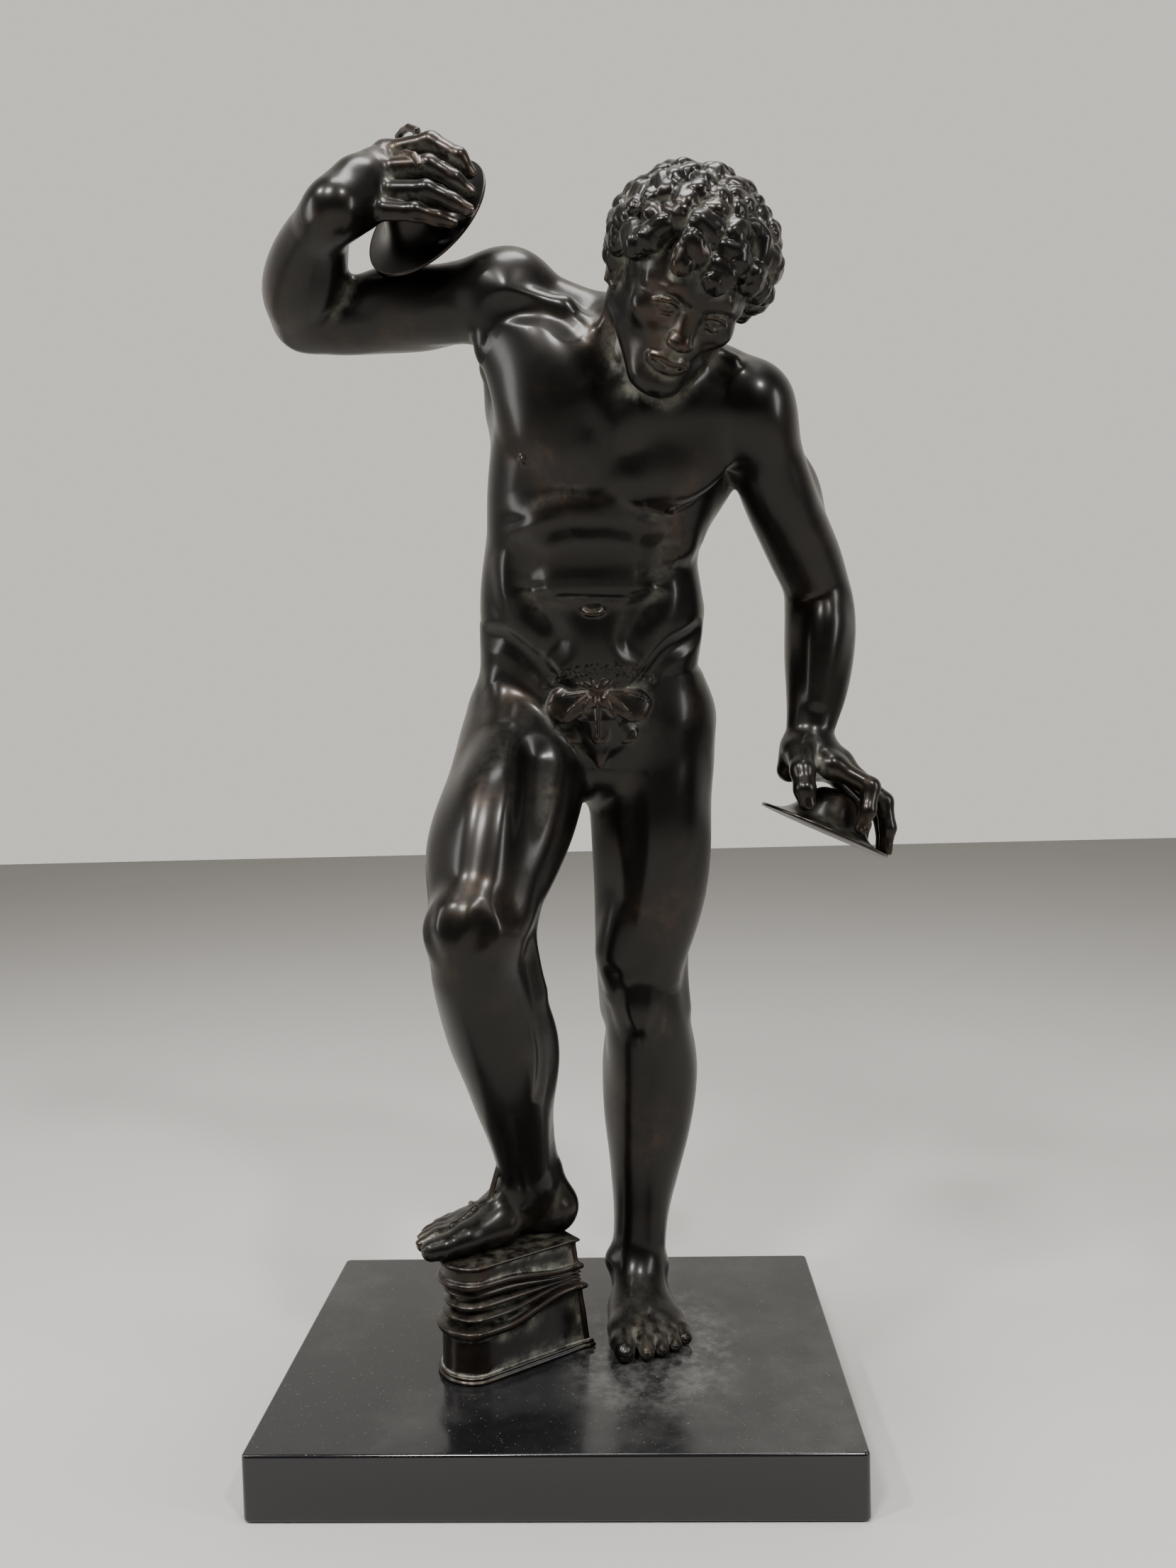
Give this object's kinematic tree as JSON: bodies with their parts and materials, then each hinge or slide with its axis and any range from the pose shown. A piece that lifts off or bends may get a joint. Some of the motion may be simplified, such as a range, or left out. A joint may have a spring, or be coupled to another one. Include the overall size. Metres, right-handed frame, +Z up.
{
  "type": "statuette",
  "caption": "Dark bronze statuette of a dancing faun playing two cymbals with his right foot on a foot clapper, on a rectangular black stone plinth.",
  "frame": {"origin": "centre of the underside of the plinth", "axes": "+Z up, -Y to the front where the faun faces, +X to the viewer's right (the faun's left)"},
  "size_m": [0.4166, 0.3134, 0.8301],
  "materials": {
    "black_stone": "polished black stone",
    "bronze": "near-black lacquered bronze, rubbed brown on the high places, grey-green dust in the hollows",
    "clapper_bronze": "dark lacquered bronze with dust in the folds",
    "cymbal_bronze": "dark lacquered bronze, satin"
  },
  "bodies": {
    "root": {"plinth": "black_stone", "faun": "bronze", "foot_clapper": "clapper_bronze", "right_cymbal": "cymbal_bronze", "left_cymbal": "cymbal_bronze"}
  },
  "joints": []
}
